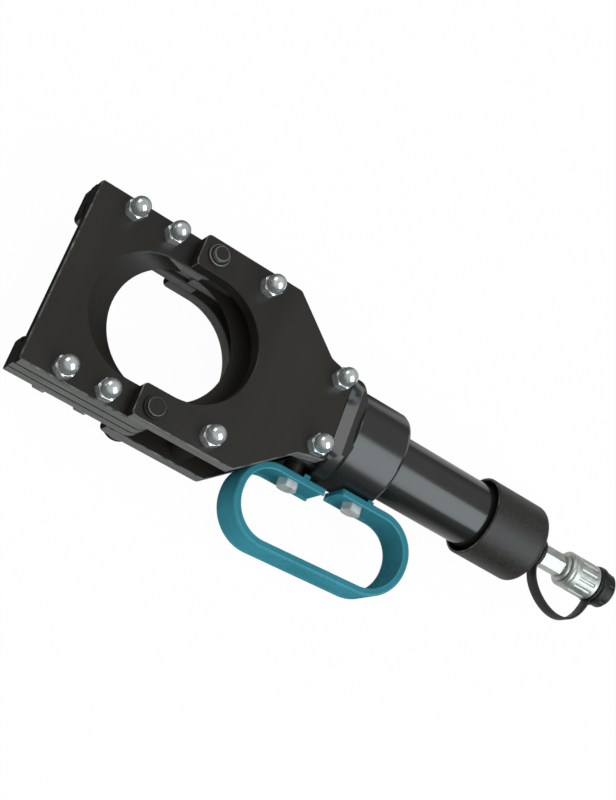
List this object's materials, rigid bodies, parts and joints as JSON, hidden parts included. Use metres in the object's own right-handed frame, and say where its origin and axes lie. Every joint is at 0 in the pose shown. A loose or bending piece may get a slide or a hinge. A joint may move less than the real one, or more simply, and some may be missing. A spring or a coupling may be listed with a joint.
{
  "type": "hydraulic cable cutter head",
  "caption": "Hydraulic cable cutter head with a round blade jaw, a hinged yoke locked by a pull pin, a ram cylinder, a bent strap handle and a capped hose coupler.",
  "frame": {"origin": "centre of the round jaw opening, in the middle plane of the blade stack", "axes": "+X from the nose along the ram axis to the hose coupler, +Z square to the plates towards the cap nuts, +Y away from the handle"},
  "size_m": [0.4617, 0.1636, 0.0778],
  "materials": {
    "black_steel": "satin blackened steel",
    "gloss_black": "glossy black enamel",
    "satin_black": "satin brown-black coating, lightly speckled",
    "zinc": "bright zinc plate",
    "bright_steel": "ground steel",
    "teal_paint": "semi-gloss teal paint",
    "black_rubber": "moulded black rubber",
    "bronze": "machined bronze"
  },
  "bodies": {
    "frame": {"front_plate": "black_steel", "back_plate": "black_steel", "frame_spacers": "black_steel", "frame_bolts": "zinc", "frame_nuts": "zinc", "hinge_pin": "black_steel", "hinge_pin_clip": "black_steel", "cylinder_head": "gloss_black", "gland_bush": "bronze", "rod_wiper": "black_rubber", "cylinder_barrel": "gloss_black", "end_cap": "satin_black", "return_spring": "bright_steel", "hose_nipple": "zinc", "coupler_body": "zinc", "cap_strap": "black_rubber", "handle_band": "teal_paint", "handle_screws": "zinc", "handle_spacer": "black_steel"},
    "yoke": {"fixed_blade": "black_steel", "yoke_spacers": "black_steel", "guide_arms": "black_steel", "yoke_bolts": "zinc", "yoke_nuts": "zinc"},
    "ram_and_blade": {"moving_blade": "black_steel", "ram": "bright_steel", "blade_pin": "bright_steel", "piston": "bright_steel", "piston_seal": "black_rubber"},
    "latch": {"latch_pin": "black_steel"},
    "collar": {"coupler_collar": "zinc"},
    "cap": {"dust_cap": "black_rubber"}
  },
  "joints": [
    {"name": "blade_stroke", "type": "slide", "parent": "frame", "child": "ram_and_blade", "axis": [-1, 0, 0], "range_m": [0, 0.092], "deforming": ["return_spring"]},
    {"name": "yoke_swing", "type": "hinge", "parent": "frame", "child": "yoke", "pos_m": [0.0025, -0.0555, 0], "axis": [0, 0, 1], "range_deg": [0, 105]},
    {"name": "latch_pin_pull", "type": "slide", "parent": "frame", "child": "latch", "axis": [0, 0, 1], "range_m": [0, 0.06]},
    {"name": "coupler_collar_spin", "type": "hinge", "parent": "frame", "child": "collar", "pos_m": [0.3514, 0, 0], "axis": [1, 0, 0], "continuous": true},
    {"name": "dust_cap_pull", "type": "slide", "parent": "frame", "child": "cap", "axis": [1, 0, 0], "range_m": [0, 0.025], "deforming": ["cap_strap"]}
  ]
}
